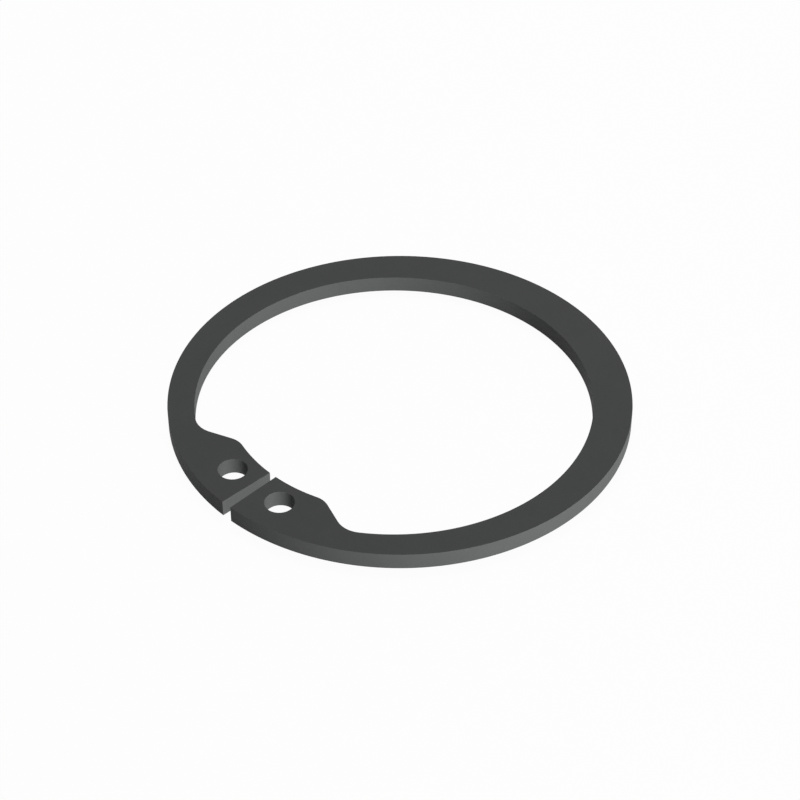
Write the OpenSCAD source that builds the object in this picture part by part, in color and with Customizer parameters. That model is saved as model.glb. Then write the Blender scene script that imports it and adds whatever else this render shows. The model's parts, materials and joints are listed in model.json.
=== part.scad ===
// Circlip retaining ring for a bore, stamped in one piece from spring steel strip.
// It lies flat on the XY plane, with the ring's axis on Z and its gap towards -Y.
// Angles start at -Y, the middle of the gap, and grow towards +X.

/* [Ring] */
// Outside diameter, with the ring seated in its groove
outer_d = 40; // [38:1:42]
// Thickness of the steel strip
thickness = 1.5; // [1:0.05:2]
// Width of the section at the back, opposite the gap
back_w = 3.6; // [3:0.1:3.9]
// Width that the tapering section comes down to at the gap, under the lugs
front_w = 2.15; // [1.8:0.05:2.25]
// Width of the small flat that tumbling leaves on every edge
edge_break = 0.05; // [0.04:0.01:0.12]

/* [Lugs] */
// Height of the lugs, from the outside edge to their inner edge
lug_h = 5.15; // [4.9:0.05:5.45]
// Angle of the gap between the two lugs
gap_angle = 2.7; // [1.5:0.1:6]
// Angle at which the rounded shoulder of a lug has its centre
shoulder_angle = 17.75; // [17:0.25:19.5]
// Radius of the shoulder
shoulder_r = 2; // [1:0.1:2.2]
// Angle at which the fillet at the root of a lug has its centre, seen from the inner circle's centre
root_angle = 35.5; // [34.5:0.5:38]
// Radius of the fillet at the root of a lug
root_r = 2.25; // [2.15:0.05:2.8]

/* [Plier holes] */
// Diameter of the holes for the plier tips
hole_d = 2.5; // [2:0.1:2.8]
// Distance between the two holes, centre to centre
hole_spacing = 5.7; // [5.2:0.1:6.4]
// Width of the metal between a hole and the lug's inner edge
hole_wall = 0.87; // [0.6:0.01:1]

/* [Hidden] */
$fn = 128;

outer_r = outer_d / 2;
lug_r = outer_r - lug_h;
hole_r = hole_d / 2;
hole_y = -sqrt(pow(lug_r + hole_wall + hole_r, 2) - pow(hole_spacing / 2, 2));

// The inner circle lies off the axis, towards the gap, so that the section tapers evenly
inner_r = (outer_d - back_w - front_w) / 2;
inner_y = (front_w - back_w) / 2;

// Curves that run into each other cross by this much instead of just touching, so that they meet cleanly
bite = 0.003;
root_c = [0, inner_y] + polar(inner_r - root_r + bite, root_angle);
shoulder_c = polar(lug_r + shoulder_r - bite, shoulder_angle);

// Between the root fillet and the shoulder runs a straight flank that is tangent to both
root_to_shoulder = shoulder_c - root_c;
flank_angle = direction(root_to_shoulder) + acos((root_r + shoulder_r - 2 * bite) / norm(root_to_shoulder));
flank_start = root_c + polar(root_r - bite, flank_angle);
flank_end = shoulder_c - polar(shoulder_r - bite, flank_angle);

// How far cutters reach past the metal, and how far the two at the gap reach in from its walls to meet
clear = 1;
gap_reach = 1.2 * outer_r * sin(gap_angle / 2);

function polar(r, a) = r * [sin(a), -cos(a)];
function direction(v) = atan2(v.y, v.x) + 90;

module both_sides() for (side = [0, 1]) mirror([side, 0]) children();

module both_faces() {
    translate([0, 0, thickness]) children();
    mirror([0, 0, 1]) children();
}

module half_disc(r) intersection() {
    circle(r);
    translate([0, -r - clear]) square(2 * (r + clear));
}

// The space inside the ring
module opening() {
    circle(lug_r);
    both_sides() {
        translate([0, inner_y]) rotate(root_angle) half_disc(inner_r);
        translate(root_c) circle(root_r);
        difference() {
            polygon([[0, 0], root_c, flank_start, flank_end, shoulder_c]);
            translate(shoulder_c) circle(shoulder_r);
        }
    }
}

// The ring's outline with its holes, before the gap is cut
module outline() difference() {
    circle(outer_r);
    opening();
    both_sides() translate([hole_spacing / 2, hole_y]) circle(hole_r);
}

// What comes off a sharp edge at the origin, where the metal fills x > 0, y < 0
module chip() polygon(edge_break * [[-1, -2], [2, 1], [-1, 1]]);

module chip_round_opening(r, from = 0, turn = 360)
    rotate(from) rotate_extrude(start = -90, angle = turn) translate([r, 0]) chip();

module chip_round_metal(r, from = 0, turn = 360)
    rotate(from) rotate_extrude(start = -90, angle = turn) translate([r, 0]) mirror([1, 0]) chip();

module chip_along_flank() translate(flank_start) rotate(flank_angle - 90) rotate([90, 0, 0])
    linear_extrude(norm(flank_end - flank_start) + clear) chip();

// The edges, in the order in which they are broken: those that run on past a tangent point come first
EDGES = ["outer", "holes", "lugs", "roots", "flanks", "inner", "shoulders"];
module edge(name) {
    if (name == "outer") chip_round_metal(outer_r);
    if (name == "holes") both_sides() translate([hole_spacing / 2, hole_y]) chip_round_opening(hole_r);
    if (name == "lugs") chip_round_opening(lug_r);
    if (name == "roots") both_sides() translate(root_c) chip_round_opening(root_r);
    if (name == "flanks") both_sides() chip_along_flank();
    if (name == "inner") translate([0, inner_y])
        chip_round_opening(inner_r, root_angle, 360 - 2 * root_angle);
    if (name == "shoulders") both_sides() translate(shoulder_c)
        chip_round_metal(shoulder_r, flank_angle + 180, shoulder_angle - flank_angle);
}

// The blank with the first edges of the list broken
module blank(edges) if (edges == 0) linear_extrude(thickness) outline();
    else difference() {
        blank(edges - 1);
        both_faces() edge(EDGES[edges - 1]);
    }

// Half of the gap, flared at both faces so that the wall's edges are broken too
module half_gap() {
    flare = gap_reach + edge_break + clear;
    rotate(gap_angle / 2) translate([-gap_reach, clear - lug_r]) rotate([90, 0, 0])
        linear_extrude(lug_h + 2 * clear) polygon([
            [0, -clear], [flare, -clear], [gap_reach, edge_break],
            [gap_reach, thickness - edge_break], [flare, thickness + clear], [0, thickness + clear]
        ]);
}

module retaining_ring() color([0.27, 0.275, 0.27]) difference() {
    blank(len(EDGES));
    both_sides() half_gap();
}

retaining_ring();
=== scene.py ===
"""A circlip retaining ring for a bore, in matt dark grey phosphated steel, on a pale studio floor."""
import json
import math

import bpy
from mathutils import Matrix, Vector
from mathutils.geometry import delaunay_2d_cdt


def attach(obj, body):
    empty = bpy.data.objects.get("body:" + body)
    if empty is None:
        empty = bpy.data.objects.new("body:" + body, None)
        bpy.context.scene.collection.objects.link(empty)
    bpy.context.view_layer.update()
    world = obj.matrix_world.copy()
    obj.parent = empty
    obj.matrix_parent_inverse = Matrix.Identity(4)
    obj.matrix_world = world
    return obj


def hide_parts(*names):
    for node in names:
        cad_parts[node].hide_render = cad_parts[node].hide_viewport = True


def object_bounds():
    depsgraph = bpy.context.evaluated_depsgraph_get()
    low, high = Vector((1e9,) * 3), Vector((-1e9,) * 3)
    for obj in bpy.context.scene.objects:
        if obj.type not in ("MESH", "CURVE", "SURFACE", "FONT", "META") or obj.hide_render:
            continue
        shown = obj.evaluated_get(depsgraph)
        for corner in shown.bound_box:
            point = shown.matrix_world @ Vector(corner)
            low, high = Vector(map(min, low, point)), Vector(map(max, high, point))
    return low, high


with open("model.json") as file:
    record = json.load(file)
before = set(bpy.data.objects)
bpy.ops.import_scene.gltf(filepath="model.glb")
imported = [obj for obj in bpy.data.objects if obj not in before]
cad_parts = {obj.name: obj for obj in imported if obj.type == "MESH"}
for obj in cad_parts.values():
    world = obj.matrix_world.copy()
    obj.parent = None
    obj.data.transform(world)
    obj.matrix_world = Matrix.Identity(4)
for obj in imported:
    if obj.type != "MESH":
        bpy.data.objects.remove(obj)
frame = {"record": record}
cad_low, cad_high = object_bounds()
mounts = {mount["name"]: mount for mount in frame["record"]["mounts"]}

# Lengths are in millimetres up to the point where a mesh or a place is made from them
METRE = 0.001

# The ring: what the frame gives comes from it, and the rest is as in the part's source
OUTER_R = mounts["outer_rim"]["dims"]["r_mm"]
HOLE_R = mounts["plier_hole_right"]["dims"]["r_mm"]
HOLE_CENTRE = Vector(mounts["plier_hole_right"]["pos_m"][:2]) / METRE
THICKNESS = (cad_high.z - cad_low.z) / METRE
BACK_WIDTH = 3.6
FRONT_WIDTH = 2.15
LUG_HEIGHT = 5.15
GAP_ANGLE = 2.7
SHOULDER_ANGLE = 17.75
SHOULDER_R = 2.0
ROOT_ANGLE = 35.5
ROOT_R = 2.25

# What tumbling leaves on the edges of the faces and on the upright corners at the gap. The corners are the
# rounder ones, so that something is left of their curve on the faces.
EDGE_ROUND = 0.02
CORNER_ROUND = 0.03
EDGE_STEPS = 4

# The longest step between two points of the contour
POINT_STEP = 0.16

# The triangulation's own settings: it gives what lies inside the outline, and points this close are one
INSIDE_ONLY = 1
SAME_POINT = 1e-6

# The phosphate coat, from its darkest to its palest crystals, and the steel that shows where it is rubbed
DARK_COAT = (0.04, 0.0425, 0.0415, 1)
PALE_COAT = (0.06, 0.0625, 0.061, 1)
RUBBED_STEEL = (0.12, 0.12, 0.118, 1)
COAT_ROUGHNESS = 0.8
COAT_GLOSS = 0.15

# The coat's crystals, specks and clouds: how many there are to a millimetre, how far they shift the tone
CRYSTALS_PER_MM = 14
SPECKS_PER_MM = 3.1
CLOUDS_PER_MM = 0.22
CRYSTAL_TONE = 0.7
SPECK_TONE = 0.3
CLOUD_TONE = 0.5

# The height of the crystals, how strongly it shows, and how far they shift the roughness
CRYSTAL_HEIGHT = 0.004
CRYSTAL_RELIEF = 0.35
CRYSTAL_ROUGHNESS = 0.12

# On the rubbed edges: how much steel shows, how evenly it does, and how much smoother it is than the coat
WEAR = 0.5
WEAR_EVENNESS = 0.2
WEAR_POLISH = 0.2

# The lamps, with azimuths from the middle of the gap towards +X. The key casts no shadow, as in the photo,
# where it lights the walls of the gap and the holes down to the floor.
KEY_LAMP = {"azimuth": 88, "elevation": 6, "power": 3.15, "casts_shadow": False}
BACK_LAMP = {"azimuth": 225, "elevation": 55, "power": 0.66, "casts_shadow": True}
LAMP_DISTANCE = 380
LAMP_SIZE = 180
AMBIENT = 0.26
FLOOR_COLOUR = (0.8, 0.8, 0.8, 1)
FLOOR_GLOW = 0.95
FLOOR_R = 3000
WHITE = (1, 1, 1, 1)

# The camera
CAMERA_AZIMUTH = 45
CAMERA_ELEVATION = 40
CAMERA_DISTANCE = 192.1
CAMERA_LENS = 100


def polar(radius, angle):
    """A point at that angle in degrees, from -Y, the middle of the gap, towards +X."""
    a = math.radians(angle)
    return Vector((radius * math.sin(a), -radius * math.cos(a)))


def angle_of(v):
    return math.degrees(math.atan2(v.x, -v.y))


def towards(azimuth, elevation):
    """The direction seen from the ring at that azimuth and that elevation above the floor."""
    e = math.radians(elevation)
    flat = polar(math.cos(e), azimuth)
    return Vector((flat.x, flat.y, math.sin(e)))


def arc(centre, radius, start, end, outward):
    """Contour points and normals along an arc. outward is 1 with the metal inside the circle, else -1."""
    count = max(3, math.ceil(abs(math.radians(end - start)) * radius / POINT_STEP))
    angles = [start + (end - start) * i / count for i in range(count + 1)]
    return [(centre + polar(radius, a), polar(outward, a)) for a in angles]


def straight(start, end, normal):
    count = math.ceil((end - start).length / POINT_STEP)
    return [(start.lerp(end, i / count), normal) for i in range(count + 1)]


def right_half():
    """The contour's right half: from the back along the outer edge, round the lug, and back inside."""
    axis = Vector((0, 0))
    inner_r = OUTER_R - (BACK_WIDTH + FRONT_WIDTH) / 2
    inner_c = Vector((0, (FRONT_WIDTH - BACK_WIDTH) / 2))
    lug_r = OUTER_R - LUG_HEIGHT
    root_c = inner_c + polar(inner_r - ROOT_R, ROOT_ANGLE)
    shoulder_c = polar(lug_r + SHOULDER_R, SHOULDER_ANGLE)
    span = shoulder_c - root_c
    flank = angle_of(span) + math.degrees(math.acos((ROOT_R + SHOULDER_R) / span.length))
    flank_start = shoulder_c - polar(SHOULDER_R, flank)
    flank_end = root_c + polar(ROOT_R, flank)

    wall = GAP_ANGLE / 2
    into_gap = polar(1, wall - 90)
    outer_corner = wall + math.degrees(math.asin(CORNER_ROUND / (OUTER_R - CORNER_ROUND)))
    outer_corner_c = polar(OUTER_R - CORNER_ROUND, outer_corner)
    inner_corner = wall + math.degrees(math.asin(CORNER_ROUND / (lug_r + CORNER_ROUND)))
    inner_corner_c = polar(lug_r + CORNER_ROUND, inner_corner)
    wall_start = outer_corner_c + CORNER_ROUND * into_gap
    wall_end = inner_corner_c + CORNER_ROUND * into_gap

    return [
        arc(axis, OUTER_R, 180, outer_corner, 1),
        arc(outer_corner_c, CORNER_ROUND, outer_corner, wall - 90, 1),
        straight(wall_start, wall_end, into_gap),
        arc(inner_corner_c, CORNER_ROUND, wall - 90, inner_corner - 180, 1),
        arc(axis, lug_r, inner_corner, SHOULDER_ANGLE, -1),
        arc(shoulder_c, SHOULDER_R, SHOULDER_ANGLE - 180, flank - 180, 1),
        straight(flank_start, flank_end, polar(-1, flank)),
        arc(root_c, ROOT_R, flank, ROOT_ANGLE, -1),
        arc(inner_c, inner_r, ROOT_ANGLE, 180, -1),
    ]


def contour():
    """The closed contour: the right half and its mirror image."""
    runs = right_half()
    right = [runs[0][0]] + [point for run in runs for point in run[1:]]
    left = [(Vector((-p.x, p.y)), Vector((-n.x, n.y))) for p, n in reversed(right)]
    return right + left[1:-1]


def hole(side):
    centre = Vector((side * HOLE_CENTRE.x, HOLE_CENTRE.y))
    return arc(centre, HOLE_R, 0, 360, -1)[:-1]


def edge_profile():
    """From the lower face to the upper one: how far in, how high, and by what angle the normal leans up."""
    lower = []
    for i in range(EDGE_STEPS + 1):
        a = math.pi / 2 * i / EDGE_STEPS
        lower.append((EDGE_ROUND * (1 - math.sin(a)), EDGE_ROUND * (1 - math.cos(a)), a - math.pi / 2))
    upper = [(inset, THICKNESS - height, -lean) for inset, height, lean in reversed(lower)]
    return lower + upper


def next_of(loop, k):
    return loop[(k + 1) % len(loop)]


def flat_faces(points, outside, holes):
    """Triangles between the loops of one flat face, each loop given as a range of point numbers."""
    loops = [outside] + holes
    rim = [i for loop in loops for i in loop]
    place_of = {i: k for k, i in enumerate(rim)}
    edges = [(place_of[i], place_of[next_of(loop, k)]) for loop in loops for k, i in enumerate(loop)]
    flat = [Vector(points[i][:2]) / METRE for i in rim]
    triangles, origin = delaunay_2d_cdt(flat, edges, [], INSIDE_ONLY, SAME_POINT)[2:4]
    faces = [[rim[origin[i][0]] for i in triangle] for triangle in triangles]
    return [face for face in faces if not any(all(i in loop for i in face) for loop in holes)]


def make_ring():
    """The ring as one closed mesh: walls with rounded edges along every loop, and the two flat faces."""
    profile = edge_profile()
    points = []
    normals = []
    rubbed = []
    faces = []
    lower_rims = []
    upper_rims = []
    for loop in (contour(), hole(1), hole(-1)):
        rows = []
        for inset, height, lean in profile:
            rows.append(range(len(points), len(points) + len(loop)))
            for p, n in loop:
                place = p - inset * n
                points.append(Vector((place.x, place.y, height)) * METRE)
                normals.append((n.x * math.cos(lean), n.y * math.cos(lean), math.sin(lean)))
                rubbed.append(abs(math.sin(2 * lean)))
        for below, above in zip(rows, rows[1:]):
            for k in range(len(loop)):
                faces.append((next_of(below, k), below[k], above[k], next_of(above, k)))
        lower_rims.append(rows[0])
        upper_rims.append(rows[-1])
    faces += [face[::-1] for face in flat_faces(points, lower_rims[0], lower_rims[1:])]
    faces += flat_faces(points, upper_rims[0], upper_rims[1:])

    mesh = bpy.data.meshes.new("retaining_ring_steel")
    mesh.from_pydata(points, [], faces)
    mesh.polygons.foreach_set("use_smooth", [True] * len(mesh.polygons))
    mesh.attributes.new("rubbed", "FLOAT", "POINT").data.foreach_set("value", rubbed)
    mesh.normals_split_custom_set_from_vertices(normals)
    ring = bpy.data.objects.new("retaining_ring_steel", mesh)
    bpy.context.collection.objects.link(ring)
    return ring


class Value:
    """A node's output, which can stand in plain sums."""

    def __init__(self, nodes, socket):
        self.nodes = nodes
        self.socket = socket

    def math(self, operation, a, b):
        return self.nodes.add("ShaderNodeMath", {"operation": operation}, {0: a, 1: b})

    def __add__(self, other):
        return self.math("ADD", self, other)

    def __radd__(self, other):
        return self.math("ADD", other, self)

    def __sub__(self, other):
        return self.math("SUBTRACT", self, other)

    def __rsub__(self, other):
        return self.math("SUBTRACT", other, self)

    def __mul__(self, other):
        return self.math("MULTIPLY", self, other)

    def __rmul__(self, other):
        return self.math("MULTIPLY", other, self)


class Nodes:
    """The node tree of a material or of the world."""

    def __init__(self, owner):
        owner.use_nodes = True
        self.tree = owner.node_tree
        self.tree.nodes.clear()

    def add(self, kind, settings=None, sockets=None, output=0):
        """A node of that type, with its settings, then the values or links of its sockets."""
        node = self.tree.nodes.new(kind)
        for name, setting in (settings or {}).items():
            setattr(node, name, setting)
        for key, value in (sockets or {}).items():
            if isinstance(value, Value):
                self.tree.links.new(value.socket, node.inputs[key])
            else:
                node.inputs[key].default_value = value
        return Value(self, node.outputs[output]) if node.outputs else None

    def noise(self, place, per_mm, detail=2.0, roughness=0.5):
        """Noise of up to a half either way, with about that many cells to a millimetre."""
        sockets = {"Vector": place, "Scale": per_mm / METRE, "Detail": detail, "Roughness": roughness}
        return self.add("ShaderNodeTexNoise", {}, sockets, "Fac") - 0.5

    def mix(self, amount, a, b):
        """Colour a turning into colour b as amount goes from 0 to 1."""
        return self.add("ShaderNodeMix", {"data_type": "RGBA"}, {"Factor": amount, "A": a, "B": b}, "Result")


def phosphated_steel():
    """Matt dark grey phosphate: fine crystals, faint clouds, and edges that handling has rubbed a little."""
    material = bpy.data.materials.new("phosphated_steel")
    nodes = Nodes(material)
    place = nodes.add("ShaderNodeTexCoord", {}, {}, "Object")
    crystals = nodes.noise(place, CRYSTALS_PER_MM, detail=3, roughness=0.6)
    specks = nodes.noise(place, SPECKS_PER_MM)
    clouds = nodes.noise(place, CLOUDS_PER_MM)
    rubbed = nodes.add("ShaderNodeAttribute", {"attribute_name": "rubbed"}, {}, "Fac")

    grain = CRYSTAL_TONE * crystals + SPECK_TONE * specks
    coat = nodes.mix(0.5 + grain + CLOUD_TONE * clouds, DARK_COAT, PALE_COAT)
    worn = WEAR * rubbed * (WEAR_EVENNESS + specks)
    colour = nodes.mix(worn, coat, RUBBED_STEEL)
    rough = COAT_ROUGHNESS + CRYSTAL_ROUGHNESS * crystals - WEAR_POLISH * worn
    relief = {"Height": grain, "Distance": CRYSTAL_HEIGHT * METRE, "Strength": CRYSTAL_RELIEF}
    bump = nodes.add("ShaderNodeBump", {}, relief)
    varied = {"Base Color": colour, "Roughness": rough, "Normal": bump}
    shader = nodes.add("ShaderNodeBsdfPrincipled", {}, {**varied, "Specular IOR Level": COAT_GLOSS})
    nodes.add("ShaderNodeOutputMaterial", {}, {"Surface": shader})
    return material


def shown(nodes):
    """1 for what the camera sees, also in a reflection or through glass, and 0 for what lights things."""
    camera = nodes.add("ShaderNodeLightPath", {}, {}, "Is Camera Ray")
    glossy = nodes.add("ShaderNodeLightPath", {}, {}, "Is Glossy Ray")
    transmission = nodes.add("ShaderNodeLightPath", {}, {}, "Is Transmission Ray")
    return 1 - (1 - camera) * (1 - glossy) * (1 - transmission)


def pale_floor():
    """A white floor that almost vanishes into the backdrop and keeps the ring's soft shadow."""
    material = bpy.data.materials.new("pale_floor")
    nodes = Nodes(material)
    diffuse = nodes.add("ShaderNodeBsdfDiffuse", {}, {"Color": FLOOR_COLOUR})
    white = nodes.add("ShaderNodeEmission", {}, {"Color": WHITE, "Strength": 1})
    surface = nodes.add("ShaderNodeMixShader", {}, {"Fac": shown(nodes) * FLOOR_GLOW, 1: diffuse, 2: white})
    nodes.add("ShaderNodeOutputMaterial", {}, {"Surface": surface})
    return material


def make_world():
    world = bpy.data.worlds.new("studio")
    bpy.context.scene.world = world
    nodes = Nodes(world)
    soft = nodes.add("ShaderNodeBackground", {}, {"Color": WHITE, "Strength": AMBIENT})
    white = nodes.add("ShaderNodeBackground", {}, {"Color": WHITE, "Strength": 1})
    surface = nodes.add("ShaderNodeMixShader", {}, {"Fac": shown(nodes), 1: soft, 2: white})
    nodes.add("ShaderNodeOutputWorld", {}, {"Surface": surface})


def make_floor():
    bpy.ops.mesh.primitive_circle_add(vertices=64, radius=FLOOR_R * METRE, fill_type="NGON")
    floor = bpy.context.object
    floor.name = "floor"
    floor.data.materials.append(pale_floor())


def make_lamp(name, azimuth, elevation, power, casts_shadow):
    light = bpy.data.lights.new(name, "AREA")
    light.shape = "DISK"
    light.size = LAMP_SIZE * METRE
    light.energy = power
    light.use_shadow = casts_shadow
    lamp = bpy.data.objects.new(name, light)
    back = towards(azimuth, elevation)
    lamp.location = LAMP_DISTANCE * METRE * back
    lamp.rotation_euler = back.to_track_quat("Z", "Y").to_euler()
    lamp.visible_camera = False
    bpy.context.collection.objects.link(lamp)


def make_camera():
    camera = bpy.data.objects.new("camera", bpy.data.cameras.new("camera"))
    camera.data.lens = CAMERA_LENS
    camera.data.clip_start = CAMERA_DISTANCE * METRE / 100
    camera.data.clip_end = 2 * FLOOR_R * METRE
    back = towards(CAMERA_AZIMUTH, CAMERA_ELEVATION)
    target = Vector((0, 0, THICKNESS / 2))
    camera.location = (target + CAMERA_DISTANCE * back) * METRE
    camera.rotation_euler = back.to_track_quat("Z", "Y").to_euler()
    bpy.context.collection.objects.link(camera)
    bpy.context.scene.camera = camera


make_world()
make_floor()
make_lamp("key", **KEY_LAMP)
make_lamp("back", **BACK_LAMP)
make_camera()

ring = make_ring()
ring.data.materials.append(phosphated_steel())
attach(ring, "root")
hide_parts("retaining_ring")

bpy.context.scene.view_settings.view_transform = "Standard"
